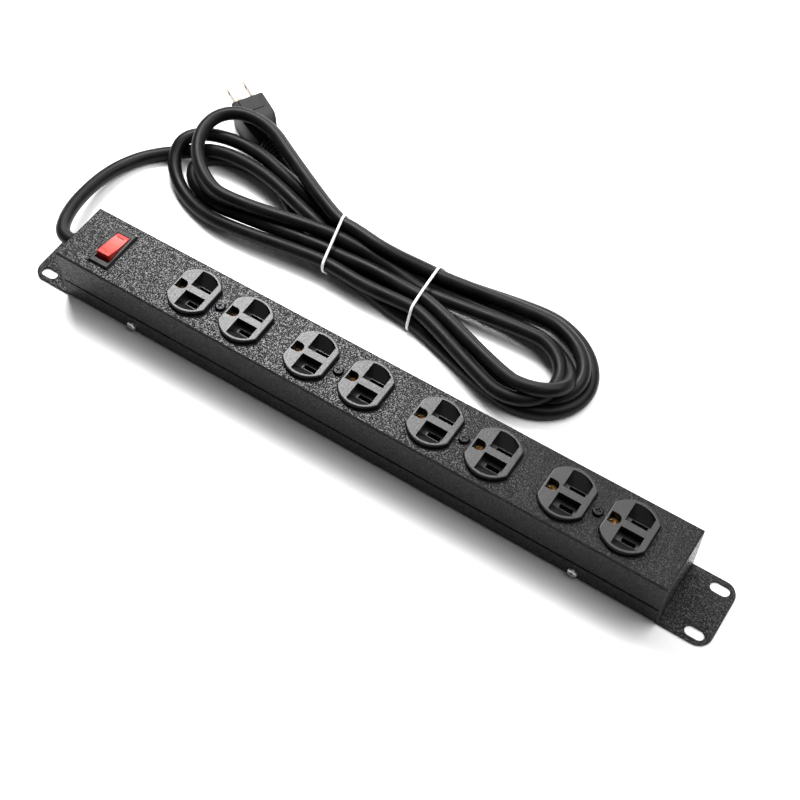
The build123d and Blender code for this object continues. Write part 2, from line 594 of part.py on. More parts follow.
def make_switch_lamp():
    """Neon lamp that lies under the rocker and lights it."""
    bulb = rod((SWITCH_X, LAMP_TIP_Y, LAMP_Z), (SWITCH_X, LAMP_TIP_Y + 3.6, LAMP_Z), LAMP_RADIUS)
    tip = Pos(SWITCH_X, LAMP_TIP_Y, LAMP_Z) * Sphere(LAMP_RADIUS)
    pinch = block(SWITCH_X - 1.6, SWITCH_X + 1.6, LAMP_TIP_Y + 3.4, LAMP_TIP_Y + 4.8, LAMP_Z - 0.5, LAMP_Z + 0.5)
    return bulb + tip + pinch


# ---------------------------------------------------------------- wiring inside the case
def make_cord_entry():
    """End of the cord's jacket, held by the strain relief inside the case."""
    return rod((RELIEF_TIP_X, EXIT_Y, EXIT_Z), (JACKET_END_X, EXIT_Y, EXIT_Z), CORD_RADIUS)


def make_line_in_wire():
    """Black wire from the cord, under the switch, to its middle terminal."""
    z = EXIT_Z - CONDUCTOR_OFFSET
    terminal_x = SWITCH_X - TERMINAL_BLADE_WIDTH / 2 - MOVING_GAP
    points = [(JACKET_END_X, EXIT_Y, z), (JACKET_END_X + 4, EXIT_Y, z), (JACKET_END_X + 7, EXIT_Y / 2, z - 5),
              (terminal_x - 4, 0, WIRE_TERMINAL_Z), (terminal_x, 0, WIRE_TERMINAL_Z)]
    return tube(points, WIRE_RADIUS)[0]


def lane_wire(side, start_points):
    """A wire that reaches a side lane and rises to one terminal of every receptacle."""
    lane_y = side * WIRE_LANE_Y
    points = list(start_points) + [(LANE_START_X, lane_y, WIRE_LANE_Z),
                                   (DUPLEX_X[-1] + 2, lane_y, WIRE_LANE_Z)]
    wire = tube(points, WIRE_RADIUS)[0]
    for x in DUPLEX_X:
        wire += rod((x, lane_y, WIRE_LANE_Z), (x, lane_y, CONTACT_BAR_Z - MOVING_GAP), WIRE_RADIUS * 0.9)
    return wire


def make_line_wire():
    """Switched black wire from the switch's load terminal along the front lane."""
    start_x = SWITCH_X + TERMINAL_BLADE_WIDTH / 2 + MOVING_GAP
    start_y = TERMINAL_BLADE_Y[0]
    return lane_wire(-1, [(start_x, start_y, WIRE_TERMINAL_Z), (start_x + 8, start_y, WIRE_TERMINAL_Z)])


def make_neutral_wire():
    """White wire from the cord, under the switch, along the rear lane."""
    y = EXIT_Y + CONDUCTOR_OFFSET
    return lane_wire(1, [(JACKET_END_X, y, EXIT_Z + 1), (JACKET_END_X + 4, y, EXIT_Z + 1),
                         (JACKET_END_X + 8, y + 6, EXIT_Z - 6)])


def make_ground_wire():
    """Green wire from the cord down to the ground lug."""
    y = EXIT_Y - CONDUCTOR_OFFSET
    lug_x = GROUND_STUD_X + 6.7
    points = [(JACKET_END_X, y, EXIT_Z + 1), (JACKET_END_X + 4, y, EXIT_Z + 1), (JACKET_END_X + 5, y - 9, EXIT_Z - 8),
              (lug_x + 3, GROUND_STUD_Y, BASE_SHEET + 1.7), (lug_x, GROUND_STUD_Y, BASE_SHEET + 1.7)]
    return tube(points, WIRE_RADIUS)[0]


def make_ground_lug():
    """Ring terminal under the ground nut."""
    ring = Pos(GROUND_STUD_X, GROUND_STUD_Y, BASE_SHEET) * Cylinder(4.2, 0.9, align=(MID, MID, UP))
    ring += block(GROUND_STUD_X, GROUND_STUD_X + 6.4, GROUND_STUD_Y - 1.5, GROUND_STUD_Y + 1.5,
                  BASE_SHEET, BASE_SHEET + 0.9)
    return ring - rod((GROUND_STUD_X, GROUND_STUD_Y, 0), (GROUND_STUD_X, GROUND_STUD_Y, 12), GROUND_STUD_RADIUS)


def make_ground_nut():
    """Hexagon nut on the ground stud."""
    nut = extrude(RegularPolygon(3.9, 6), 3.0) - Cylinder(GROUND_STUD_RADIUS, 20)
    return Pos(GROUND_STUD_X, GROUND_STUD_Y, BASE_SHEET + 0.9) * nut


# ---------------------------------------------------------------- strain relief, lead and hank
def disc_chain(discs, z_low, z_high):
    """A slab whose plan is a run of discs joined by their tangents."""
    slab = None
    for (x1, y1, radius1), (x2, y2, radius2) in zip(discs, discs[1:]):
        rims = [Pos(x1, y1) * Circle(radius1), Pos(x2, y2) * Circle(radius2)]
        link = make_hull(rims[0].edges() + rims[1].edges())
        piece = Pos(0, 0, z_low) * extrude(link, z_high - z_low)
        slab = piece if slab is None else slab + piece
    return slab


def make_cord_hank():
    """Outer shape of the tied bundle, with its highest loop over the plug's shoulder."""
    hank = disc_chain(HANK_DISCS, 0, HANK_HEIGHT)
    hank += disc_chain(TOP_LOOP_DISCS, TOP_LOOP_BOTTOM, TOP_LOOP_HEIGHT)
    neck = disc_chain(TOP_LOOP_DISCS[1:], HANK_HEIGHT - 1, TOP_LOOP_HEIGHT)
    return hank + neck


def plug_place():
    """Puts the plug, drawn with its front face at x = 0 and its cord towards +X, on the floor."""
    return Pos(PLUG_FACE[0], PLUG_FACE[1], 0) * Rot(0, 0, PLUG_HEADING)


def plug_section(x, half_width, z_low, z_high):
    """Eight-sided section of the moulded body, wide in the middle."""
    shoulder = half_width * 0.6
    low_shoulder = z_low + (z_high - z_low) * 0.22
    high_shoulder = z_high - (z_high - z_low) * 0.09
    outline = Polyline(
        (-shoulder, z_low), (shoulder, z_low), (half_width, low_shoulder), (half_width, high_shoulder),
        (shoulder, z_high), (-shoulder, z_high), (-half_width, high_shoulder), (-half_width, low_shoulder),
        close=True)
    return Plane(origin=(x, 0, 0), x_dir=(0, 1, 0), z_dir=(1, 0, 0)) * make_face(outline)


def make_plug_body():
    """Moulded three-pin plug with a tapered strain relief, lying ground pin down."""
    front = extrude(plug_section(0, PLUG_WIDTH / 2, 0, PLUG_HEIGHT), PLUG_STRAIGHT, dir=(1, 0, 0))
    rear_low = PLUG_CORD_Z - 7.0
    rear_high = PLUG_CORD_Z + 7.0
    rear = loft([plug_section(PLUG_STRAIGHT, PLUG_WIDTH / 2, 0, PLUG_HEIGHT),
                 plug_section(PLUG_BODY_LENGTH - 3, PLUG_WIDTH / 3, rear_low - 1, rear_high + 1),
                 plug_section(PLUG_BODY_LENGTH, PLUG_WIDTH / 4, rear_low + 1, rear_high - 1)], ruled=True)
    relief_axis = Plane(origin=(PLUG_BODY_LENGTH, 0, PLUG_CORD_Z), z_dir=(1, 0, 0))
    relief_length = PLUG_RELIEF_END - PLUG_BODY_LENGTH
    relief = relief_axis * Cone(CORD_RADIUS + 1.6, CORD_RADIUS + 0.5, relief_length, align=(MID, MID, UP))
    return plug_place() * (front + rear + relief)


def make_plug_blades():
    """Two flat blades, each with a round hole near its tip."""
    blades = []
    for side in (-1, 1):
        y = side * BLADE_SPACING / 2
        blade = block(-BLADE_LENGTH, BLADE_ROOT, y - BLADE_THICKNESS / 2, y + BLADE_THICKNESS / 2,
                      PLUG_BLADE_Z - BLADE_WIDTH / 2, PLUG_BLADE_Z + BLADE_WIDTH / 2)
        tip_edges = blade.edges().filter_by(Axis.Y).group_by(Axis.X)[0]
        blade = chamfer(tip_edges, BLADE_WIDTH / 5)
        blade -= rod((BLADE_HOLE_X, y - 2, PLUG_BLADE_Z), (BLADE_HOLE_X, y + 2, PLUG_BLADE_Z), BLADE_HOLE_RADIUS)
        blades.append(plug_place() * blade)
    return grouped(blades)


def make_plug_ground_pin():
    """Round-nosed ground pin."""
    pin = rod((-PIN_LENGTH, 0, PLUG_PIN_Z), (BLADE_ROOT, 0, PLUG_PIN_Z), PIN_RADIUS)
    return plug_place() * (pin + Pos(-PIN_LENGTH, 0, PLUG_PIN_Z) * Sphere(PIN_RADIUS))


def make_cord_ties():
    """Two twist ties, each a thin band over the bundle from floor to floor."""
    ties = []
    for index in TIE_DISCS:
        x, y, radius = HANK_DISCS[index]
        bundle_radius = radius + TIE_CLEARANCE
        top = HANK_HEIGHT + MOVING_GAP
        band = block(x - TIE_WIDTH / 2, x + TIE_WIDTH / 2, y - bundle_radius - TIE_THICKNESS,
                     y + bundle_radius + TIE_THICKNESS, 0, top + TIE_THICKNESS)
        band -= block(x - TIE_WIDTH, x + TIE_WIDTH, y - bundle_radius, y + bundle_radius, -1, top)
        ties.append(band)
    return grouped(ties)


def make_strain_relief():
    """Bushing that grips the cord in the end flap, tapering outside."""
    axis_plane = Plane(origin=(0, EXIT_Y, EXIT_Z), x_dir=(1, 0, 0), z_dir=(0, -1, 0))
    wall_in = -HALF_LENGTH + COVER_SHEET
    wall_out = -HALF_LENGTH
    profile = Polyline(
        (RELIEF_TIP_X, CORD_RADIUS), (RELIEF_TIP_X, CORD_RADIUS + 1.2),
        (RELIEF_HEAD_X, RELIEF_HEAD_RADIUS - 1.6), (RELIEF_HEAD_X + 1.2, RELIEF_HEAD_RADIUS - 0.4),
        (wall_out, RELIEF_HEAD_RADIUS), (wall_out, RELIEF_NECK_RADIUS), (wall_in, RELIEF_NECK_RADIUS),
        (wall_in + RELIEF_INNER_LENGTH, RELIEF_NECK_RADIUS - 1.4), (wall_in + RELIEF_INNER_LENGTH, CORD_RADIUS),
        close=True)
    section = axis_plane * make_face(profile)
    return revolve(section, Axis((0, EXIT_Y, EXIT_Z), (1, 0, 0)))


def main():
    os.makedirs("parts", exist_ok=True)
    nodes = {
        "base_pan": make_base_pan(),
        "top_cover": make_top_cover(),
        "cover_screws": make_cover_screws(),
        "switch_housing": make_switch_housing(),
        "switch_rocker": make_switch_rocker(),
        "switch_plunger": make_switch_plunger(),
        "switch_spring": make_switch_spring(),
        "switch_contact_arm": make_contact_arm(),
        "switch_terminals": make_switch_terminals(),
        "switch_lamp": make_switch_lamp(),
        "strain_relief": make_strain_relief(),
        "cord_entry": make_cord_entry(),
        "line_in_wire": make_line_in_wire(),
        "line_wire": make_line_wire(),
        "neutral_wire": make_neutral_wire(),
        "ground_wire": make_ground_wire(),
        "ground_lug": make_ground_lug(),
        "ground_nut": make_ground_nut(),
        "cord_lead": checked_tube("cord_lead", LEAD_POINTS, CORD_RADIUS),
        "cord_tail": checked_tube("cord_tail", TAIL_POINTS, CORD_RADIUS),
        "cord_hank": make_cord_hank(),
        "cord_ties": make_cord_ties(),
        "plug_body": make_plug_body() - make_plug_blades() - make_plug_ground_pin(),
        "plug_blades": make_plug_blades(),
        "plug_ground_pin": make_plug_ground_pin(),
    }
    for index, centre in enumerate(DUPLEX_X, start=1):
        name = f"receptacle_{index}"
        nodes[f"{name}_front"] = make_receptacle_front(centre)
        nodes[f"{name}_back"] = make_receptacle_back(centre)
        nodes[f"{name}_line_contacts"] = Pos(centre, 0, 0) * contact_strip(-1)
        nodes[f"{name}_neutral_contacts"] = Pos(centre, 0, 0) * contact_strip(1)
        nodes[f"{name}_ground_strap"] = make_ground_strap(centre)
        nodes[f"{name}_ground_contacts"] = make_ground_contacts(centre)
        nodes[f"{name}_centre_screw"] = make_centre_screw(centre)
        nodes[f"{name}_terminal_screws"] = make_terminal_screws(centre)
    for name, shape in nodes.items():
        export_step(shape, f"parts/{name}.step")


main()
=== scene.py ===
import math

import bpy
from mathutils import Matrix, Vector


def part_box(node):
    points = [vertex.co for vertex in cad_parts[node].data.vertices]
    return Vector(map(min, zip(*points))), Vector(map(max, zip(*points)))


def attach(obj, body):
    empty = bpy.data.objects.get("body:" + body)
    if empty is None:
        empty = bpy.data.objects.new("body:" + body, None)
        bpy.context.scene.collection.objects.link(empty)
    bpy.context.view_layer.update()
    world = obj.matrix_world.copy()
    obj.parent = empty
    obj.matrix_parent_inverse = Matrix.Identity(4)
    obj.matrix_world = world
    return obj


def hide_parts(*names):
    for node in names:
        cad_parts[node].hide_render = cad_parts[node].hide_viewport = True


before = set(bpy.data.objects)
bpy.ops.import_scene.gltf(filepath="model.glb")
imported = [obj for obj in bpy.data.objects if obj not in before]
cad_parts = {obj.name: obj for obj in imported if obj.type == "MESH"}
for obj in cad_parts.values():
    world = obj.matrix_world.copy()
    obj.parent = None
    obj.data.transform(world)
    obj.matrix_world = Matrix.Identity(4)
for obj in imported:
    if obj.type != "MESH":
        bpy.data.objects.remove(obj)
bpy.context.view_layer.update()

# Rack power strip. Metres, in the CAD frame: +X along the strip away from the lead,
# +Y towards the hank, +Z out of the receptacle faces.

# ---------------------------------------------------------------- dimensions
CORD_DIAMETER = 0.0092
CORD_RADIUS = CORD_DIAMETER / 2
TIE_WIRE_RADIUS = 0.0009
PLUG_FACE = Vector((-0.2054, 0.1653, 0.0))
PLUG_HEADING = math.radians(-29.5)
PLUG_CORD_Z = 0.0115
RELIEF_Y = 0.0025
RELIEF_Z = 0.0205

# ---------------------------------------------------------------- cord route
# Route of the lead, from the strain relief to the hank and over its left end.
LEAD = [
    (-0.2243, 0.0025, 0.0205), (-0.2310, 0.0025, 0.0205), (-0.2375, 0.0075, 0.0200),
    (-0.2438, 0.0200, 0.0180), (-0.2485, 0.0355, 0.0145), (-0.2510, 0.0515, 0.0110),
    (-0.2515, 0.0670, 0.0080), (-0.2488, 0.0815, 0.0058), (-0.2425, 0.0945, 0.0048),
    (-0.2335, 0.1045, 0.0046), (-0.2240, 0.1118, 0.0050), (-0.2130, 0.1166, 0.0085),
    (-0.2015, 0.1200, 0.0126), (-0.1870, 0.1222, 0.0138), (-0.1700, 0.1220, 0.0138),
    (-0.1550, 0.1198, 0.0138), (-0.1390, 0.1155, 0.0138), (-0.1220, 0.1100, 0.0138),
    (-0.1060, 0.1055, 0.0136),
]
# Route of the cord from the hank to the plug.
TAIL = [
    (-0.1030, 0.1045, 0.0046), (-0.1150, 0.1150, 0.0046), (-0.1270, 0.1225, 0.0056),
    (-0.1390, 0.1290, 0.0085), (-0.1490, 0.1337, 0.0112), (-0.1575, 0.1382, 0.0115),
]
# Where the two ties hold the bundle, and the middle between them.
TIE_X = (-0.084, -0.015)
MIDDLE_X = -0.050
TIE_HALF_GRIP = 0.007
# (y, z) of every strand at the first tie, in the middle and at the second tie.
STRANDS = {
    "lead": ((0.1030, 0.0096), (0.1115, 0.0046), (0.1168, 0.0046)),
    "tail": ((0.0957, 0.0046), (0.0910, 0.0046), (0.0864, 0.0046)),
    "inner_back": ((0.0860, 0.0046), (0.0818, 0.0046), (0.0768, 0.0046)),
    "outer_front": ((0.0810, 0.0128), (0.0787, 0.0133), (0.0809, 0.0128)),
    "inner_front": ((0.0908, 0.0129), (0.0920, 0.0142), (0.0905, 0.0138)),
    "outer_back": ((0.1110, 0.0134), (0.1085, 0.0135), (0.1072, 0.0046)),
    "top_front": ((0.0995, 0.0182), (0.1005, 0.0145), (0.0985, 0.0090)),
    "top_back": ((0.1082, 0.0220), (0.1038, 0.0223), (0.1115, 0.0128)),
}
# Loops of the hank: centre, half axes, lean in degrees, start and end angle, heights along the way.
LOOPS = {
    "inner": ((-0.1668, 0.1053), (0.0429, 0.0217), -7.6, (65, 290),
              (0.0046, 0.0046, 0.0046, 0.0046, 0.0046, 0.0060, 0.0128)),
    "outer": ((-0.1708, 0.1040), (0.0548, 0.0295), -11.7, (70, 290),
              (0.0140, 0.0142, 0.0145, 0.0150, 0.0148, 0.0090, 0.0050, 0.0050, 0.0090)),
    "top": ((-0.1711, 0.1161), (0.0437, 0.0291), -29.2, (300, 78),
            (0.0220, 0.0220, 0.0245, 0.0276, 0.0278, 0.0255)),
    "right_1": ((0.0614, 0.0917), (0.0465, 0.0355), -11.4, (110, -85), (0.0046, 0.0046)),
    "right_2": ((0.0592, 0.0869), (0.0390, 0.0229), -17.0, (-75, 105),
                (0.0200, 0.0220, 0.0205, 0.0120, 0.0070, 0.0046)),
    "right_3": ((0.0624, 0.0796), (0.0284, 0.0248), -16.1, (-100, 110), (0.0138, 0.0138, 0.0128, 0.0128)),
    "right_4": ((0.0625, 0.0930), (0.0400, 0.0270), -15.0, (105, -85),
                (0.0115, 0.0128, 0.0128, 0.0080, 0.0046)),
}
LOOP_STEPS = 8
# The cord's way round the hank: right-hand loop, strand back, left-hand loop, strand out.
WINDING = [
    ("right_1", "inner_back", "inner", "inner_front"),
    ("right_2", "outer_back", "outer", "outer_front"),
    ("right_3", "top_front", "top", "top_back"),
]


def strand_points(name, outward):
    """Control points of one strand through both ties, from left to right if outward."""
    first, middle, second = STRANDS[name]
    points = [(TIE_X[0] - TIE_HALF_GRIP, *first), (TIE_X[0] + TIE_HALF_GRIP, *first), (MIDDLE_X, *middle),
              (TIE_X[1] - TIE_HALF_GRIP, *second), (TIE_X[1] + TIE_HALF_GRIP, *second)]
    return points if outward else points[::-1]


def height_at(heights, share):
    """Height a share of the way along a list of evenly spaced heights."""
    place = share * (len(heights) - 1)
    index = min(int(place), len(heights) - 2)
    return heights[index] + (heights[index + 1] - heights[index]) * (place - index)


def loop_points(name):
    """Control points round one end loop of the hank, on a leaning ellipse."""
    (centre_x, centre_y), (half_long, half_wide), lean, (start, end), heights = LOOPS[name]
    lean_cos = math.cos(math.radians(lean))
    lean_sin = math.sin(math.radians(lean))
    points = []
    for step in range(LOOP_STEPS + 1):
        share = step / LOOP_STEPS
        angle = math.radians(start + (end - start) * share)
        along = half_long * math.cos(angle)
        across = half_wide * math.sin(angle)
        points.append((centre_x + along * lean_cos - across * lean_sin,
                       centre_y + along * lean_sin + across * lean_cos,
                       height_at(heights, share)))
    return points


def cord_points():
    """Control points of the whole cord, from the strain relief to the plug."""
    points = list(LEAD) + strand_points("lead", True)
    for right_loop, back_strand, left_loop, out_strand in WINDING:
        points += loop_points(right_loop)
        points += strand_points(back_strand, False)
        points += loop_points(left_loop)
        points += strand_points(out_strand, True)
    return points + loop_points("right_4") + strand_points("tail", False) + list(TAIL)


def centreline(curve_object):
    """Points along a curve's own line, read from it with no bevel."""
    bevel = curve_object.data.bevel_depth
    curve_object.data.bevel_depth = 0
    line = bpy.data.meshes.new_from_object(curve_object)
    curve_object.data.bevel_depth = bevel
    points = [tuple(vertex.co) for vertex in line.vertices]
    bpy.data.meshes.remove(line)
    return points


# ---------------------------------------------------------------- node helpers
class Surface:
    """A material being built: its node tree and its main shader."""

    def __init__(self, name, color, roughness, metallic=0.0, specular=0.5):
        self.material = bpy.data.materials.new(name)
        self.material.use_nodes = True
        self.tree = self.material.node_tree
        self.shader = self.tree.nodes["Principled BSDF"]
        self.set("Base Color", (*color, 1.0))
        self.set("Roughness", roughness)
        self.set("Metallic", metallic)
        self.set("Specular IOR Level", specular)
        self.place = self.add("ShaderNodeTexCoord").outputs["Object"]

    def set(self, socket, value):
        """Gives a socket of the main shader a constant value."""
        self.shader.inputs[socket].default_value = value

    def add(self, kind, inputs=(), **settings):
        """A new node, with settings, constant inputs and links."""
        node = self.tree.nodes.new(kind)
        for key, value in settings.items():
            setattr(node, key, value)
        for socket, value in dict(inputs).items():
            if isinstance(value, bpy.types.NodeSocket):
                self.tree.links.new(value, node.inputs[socket])
            else:
                node.inputs[socket].default_value = value
        return node

    def link(self, output, socket):
        """Feeds a socket of the main shader from another node."""
        self.tree.links.new(output, self.shader.inputs[socket])

    def noise(self, scale, detail=2.0, roughness=0.5, distortion=0.0):
        """Cloudy noise, between 0 and 1, with that many cells to a metre."""
        inputs = {"Vector": self.place, "Scale": scale, "Detail": detail, "Roughness": roughness,
                  "Distortion": distortion}
        return self.add("ShaderNodeTexNoise", inputs).outputs["Fac"]

    def remap(self, value, low, high, out_low, out_high):
        """A value scaled from one range to another."""
        return self.add("ShaderNodeMapRange", {"Value": value, "From Min": low, "From Max": high,
                                               "To Min": out_low, "To Max": out_high}).outputs["Result"]

    def math(self, operation, first, second):
        """Arithmetic on one or two values."""
        return self.add("ShaderNodeMath", {0: first, 1: second}, operation=operation).outputs["Value"]

    def blend(self, share, first, second):
        """A colour between two, by a share from another node."""
        return self.add("ShaderNodeMix", {0: share, 6: (*first, 1.0), 7: (*second, 1.0)},
                        data_type="RGBA").outputs[2]

    def bump(self, height, distance, strength):
        """Links a relief of that height to the shader."""
        relief = self.add("ShaderNodeBump", {"Height": height, "Distance": distance, "Strength": strength})
        self.link(relief.outputs["Normal"], "Normal")


def hammertone_paint():
    """Charcoal hammer-tone paint: glossy pebbles with worm-like valleys between them; painted shade darkens
    the valleys and a painted sheen lightens the crests.
    """
    surface = Surface("hammertone_charcoal", (0.02, 0.02, 0.0205), 0.36, specular=0.18)
    swirl = surface.noise(900, detail=1.0, distortion=0.4)
    fine = surface.noise(1900, detail=2.0)
    valley = surface.math("ABSOLUTE", surface.math("SUBTRACT", swirl, 0.5), 0.0)
    pebbles = surface.remap(valley, 0.0, 0.10, 0.0, 1.0)
    height = surface.math("ADD", pebbles, surface.math("MULTIPLY", fine, 0.15))
    share = surface.remap(height, 0.15, 1.05, 0.0, 1.0)
    # Base colour from the relief: painted shade, near black, in the valleys and a lighter painted sheen on
    # the crests.
    surface.link(surface.blend(share, (0.001, 0.001, 0.001), (0.011, 0.011, 0.0113)), "Base Color")
    surface.link(surface.remap(height, 0.1, 1.05, 0.60, 0.24), "Roughness")
    surface.bump(height, 0.00018, 1.0)
    return surface.material


def satin_moulding(name, dark, light, roughness, speckle=900, relief=0.00012, specular=0.5):
    """Moulded plastic with a faint spark-eroded texture and slow colour drift."""
    surface = Surface(name, light, roughness, specular=specular)
    drift = surface.noise(35, detail=3.0)
    surface.link(surface.blend(surface.remap(drift, 0.35, 0.65, 0.0, 1.0), dark, light), "Base Color")
    grain = surface.noise(speckle, detail=2.0)
    surface.link(surface.remap(grain, 0.3, 0.7, roughness + 0.06, roughness - 0.05), "Roughness")
    surface.bump(grain, relief, 0.6)
    return surface.material


def bright_metal(name, color, roughness):
    """Plated metal with fine directional rub marks."""
    surface = Surface(name, color, roughness, metallic=1.0)
    rubs = surface.noise(700, detail=4.0, distortion=2.0)
    dull = tuple(channel * 0.72 for channel in color)
    surface.link(surface.blend(surface.remap(rubs, 0.4, 0.7, 0.0, 1.0), color, dull), "Base Color")
    surface.link(surface.remap(rubs, 0.3, 0.7, roughness - 0.04, roughness + 0.12), "Roughness")
    surface.bump(rubs, 0.00005, 0.5)
    return surface.material


def cord_jacket():
    """Black PVC jacket: satin, with a faint drawn grain and handling dust."""
    surface = Surface("cord_jacket_black", (0.005, 0.005, 0.0055), 0.42, specular=0.12)
    dust = surface.noise(60, detail=4.0, roughness=0.6)
    surface.link(surface.blend(surface.remap(dust, 0.4, 0.75, 0.0, 1.0), (0.003, 0.003, 0.0033),
                               (0.007, 0.007, 0.0074)), "Base Color")
    grain = surface.noise(1400, detail=3.0)
    surface.link(surface.remap(dust, 0.3, 0.7, 0.36, 0.48), "Roughness")
    surface.bump(grain, 0.00010, 0.5)
    return surface.material


def rocker_red():
    """Translucent red rocker, with the lamp's glow through its middle painted as a paler colour."""
    surface = Surface("rocker_red", (0.5, 0.014, 0.010), 0.32, specular=0.3)
    low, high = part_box("switch_rocker")
    middle = [(low[axis] + high[axis]) / 2 for axis in range(3)]
    off_lamp = surface.add("ShaderNodeVectorMath", {0: surface.place, 1: middle}, operation="DISTANCE")
    clouds = surface.noise(260, detail=2.0)
    reach = surface.math("ADD", off_lamp.outputs["Value"], surface.math("MULTIPLY", clouds, 0.004))
    # Painted lamp glow: the colour is paler towards the rocker's middle, with cloudy edges.
    surface.link(surface.blend(surface.remap(reach, 0.006, 0.015, 0.0, 1.0), (0.50, 0.065, 0.045),
                               (0.30, 0.005, 0.004)), "Base Color")
    surface.set("Subsurface Weight", 0.2)
    surface.set("Subsurface Radius", (0.003, 0.0005, 0.0004))
    surface.bump(clouds, 0.00008, 0.4)
    return surface.material


def tie_plastic():
    """White paper-and-plastic covered tie wire."""
    surface = Surface("tie_white", (0.82, 0.82, 0.80), 0.5)
    weave = surface.noise(900, detail=2.0)
    surface.link(surface.blend(surface.remap(weave, 0.35, 0.7, 0.0, 1.0), (0.88, 0.88, 0.86),
                               (0.70, 0.70, 0.68)), "Base Color")
    surface.bump(weave, 0.0002, 0.6)
    return surface.material


def lamp_glass():
    """Clear neon bulb."""
    surface = Surface("lamp_glass", (0.9, 0.75, 0.65), 0.08)
    surface.set("Transmission Weight", 0.8)
    surface.bump(surface.noise(300), 0.0001, 0.3)
    return surface.material


def white_floor():
    """Seamless white paper."""
    surface = Surface("floor_paper", (0.9, 0.9, 0.9), 0.85, specular=0.1)
    fibres = surface.noise(500, detail=2.0)
    surface.link(surface.blend(fibres, (0.905, 0.905, 0.905), (0.895, 0.895, 0.895)), "Base Color")
    return surface.material


# ---------------------------------------------------------------- mesh helpers
CORNER_STEPS = 8
CORNER_SHARE = 0.98
CREASE_ANGLE = 40
ROUNDING_ANGLE = 35
ROUNDING_SEGMENTS = 3


def new_mesh_object(name, vertices, faces, material, smooth=True):
    """A mesh object from plain vertices and faces."""
    mesh = bpy.data.meshes.new(name)
    mesh.from_pydata(vertices, [], faces)
    mesh.validate()
    if smooth:
        mesh.polygons.foreach_set("use_smooth", [True] * len(mesh.polygons))
    piece = bpy.data.objects.new(name, mesh)
    bpy.context.collection.objects.link(piece)
    piece.data.materials.append(material)
    return piece


def skin_rings(rings):
    """Vertices and faces of a closed skin over rings that all have as many points."""
    count = len(rings[0])
    vertices = [point for ring in rings for point in ring]
    faces = []
    for ring in range(len(rings) - 1):
        for side in range(count):
            after = (side + 1) % count
            faces.append((ring * count + side, ring * count + after,
                          (ring + 1) * count + after, (ring + 1) * count + side))
    faces.append(tuple(range(count))[::-1])
    faces.append(tuple(range((len(rings) - 1) * count, len(rings) * count)))
    return vertices, faces


def rounded_section(x, half_width, z_low, z_high, corner):
    """A ring in the YZ plane: a rectangle with rounded corners, or a circle if they reach the middle."""
    ring = []
    for quarter in range(4):
        across = (1, -1, -1, 1)[quarter]
        up = (1, 1, -1, -1)[quarter]
        corner_y = across * (half_width - corner)
        corner_z = (z_low + z_high) / 2 + up * ((z_high - z_low) / 2 - corner)
        for step in range(CORNER_STEPS):
            angle = math.pi / 2 * (quarter + step / (CORNER_STEPS - 1) * CORNER_SHARE)
            ring.append((x, corner_y + corner * math.cos(angle), corner_z + corner * math.sin(angle)))
    return ring


def round_section(x, radius, centre_z):
    """A circular ring in the YZ plane."""
    return rounded_section(x, radius, centre_z - radius, centre_z + radius, radius)


def soften(node, width):
    """Small rounded edges on a CAD node."""
    bevel = node.modifiers.new("edge rounding", "BEVEL")
    bevel.width = width
    bevel.segments = ROUNDING_SEGMENTS
    bevel.limit_method = "ANGLE"
    bevel.angle_limit = math.radians(ROUNDING_ANGLE)
    bevel.harden_normals = True


def tube_piece(curve_object):
    """The curve's tube as a mesh piece of the same name, which takes the curve's place."""
    name = curve_object.name
    mesh = bpy.data.meshes.new_from_object(curve_object)
    bpy.data.objects.remove(curve_object)
    piece = bpy.data.objects.new(name, mesh)
    bpy.context.collection.objects.link(piece)
    return piece


# ---------------------------------------------------------------- cord and ties
NURBS_ORDER = 3
CORD_STEPS = 10
CORD_ROUNDNESS = 8
TIE_STEPS = 12
TIE_ROUNDNESS = 5
TIE_POINTS = 48
# How far the tie's wire stands off the cord's skin, as a share of the wire's radius.
TIE_STAND_OFF = 0.8
# For each tie, its place in the strands' lists and how far it leans along X for each metre of Y.
TIE_STATIONS = (0, 2)
TIE_LEANS = (-0.17, -0.07)


def make_curve(name, points, radius, material):
    """A NURBS curve through space with a round tube on it, and its spline."""
    data = bpy.data.curves.new(name, "CURVE")
    data.dimensions = "3D"
    data.bevel_depth = radius
    data.materials.append(material)
    spline = data.splines.new("NURBS")
    spline.points.add(len(points) - 1)
    for control, point in zip(spline.points, points):
        control.co = (*point, 1.0)
    spline.order_u = NURBS_ORDER
    curve_object = bpy.data.objects.new(name, data)
    bpy.context.collection.objects.link(curve_object)
    return curve_object, spline


def make_mains_cord(material):
    """The whole cord as one smooth tube from the strain relief to the plug, and its centreline."""
    curve_object, spline = make_curve("mains_cord", cord_points(), CORD_RADIUS, material)
    spline.use_endpoint_u = True
    spline.resolution_u = CORD_STEPS
    curve_object.data.bevel_resolution = CORD_ROUNDNESS
    path = centreline(curve_object)
    return tube_piece(curve_object), path


def bundle_outline(tie):
    """Closed path of a wire drawn tight round every strand at one tie."""
    centres = [strand[TIE_STATIONS[tie]] for strand in STRANDS.values()]
    reach = CORD_RADIUS + TIE_WIRE_RADIUS * TIE_STAND_OFF
    path = []
    for step in range(TIE_POINTS):
        angle = 2 * math.pi * step / TIE_POINTS
        across = math.cos(angle)
        up = math.sin(angle)
        y, z = max(centres, key=lambda centre: centre[0] * across + centre[1] * up)
        path.append((y + reach * across, max(z + reach * up, TIE_WIRE_RADIUS)))
    middle_y = sum(y for y, z in path) / TIE_POINTS
    return [(TIE_X[tie] + TIE_LEANS[tie] * (y - middle_y), y, z) for y, z in path]


def make_tie(tie, material):
    """One white tie drawn round the bundle, as a closed loop."""
    name = f"twist_tie_{tie + 1}"
    curve_object, spline = make_curve(name, bundle_outline(tie), TIE_WIRE_RADIUS, material)
    spline.use_cyclic_u = True
    spline.resolution_u = TIE_STEPS
    curve_object.data.bevel_resolution = TIE_ROUNDNESS
    return tube_piece(curve_object)


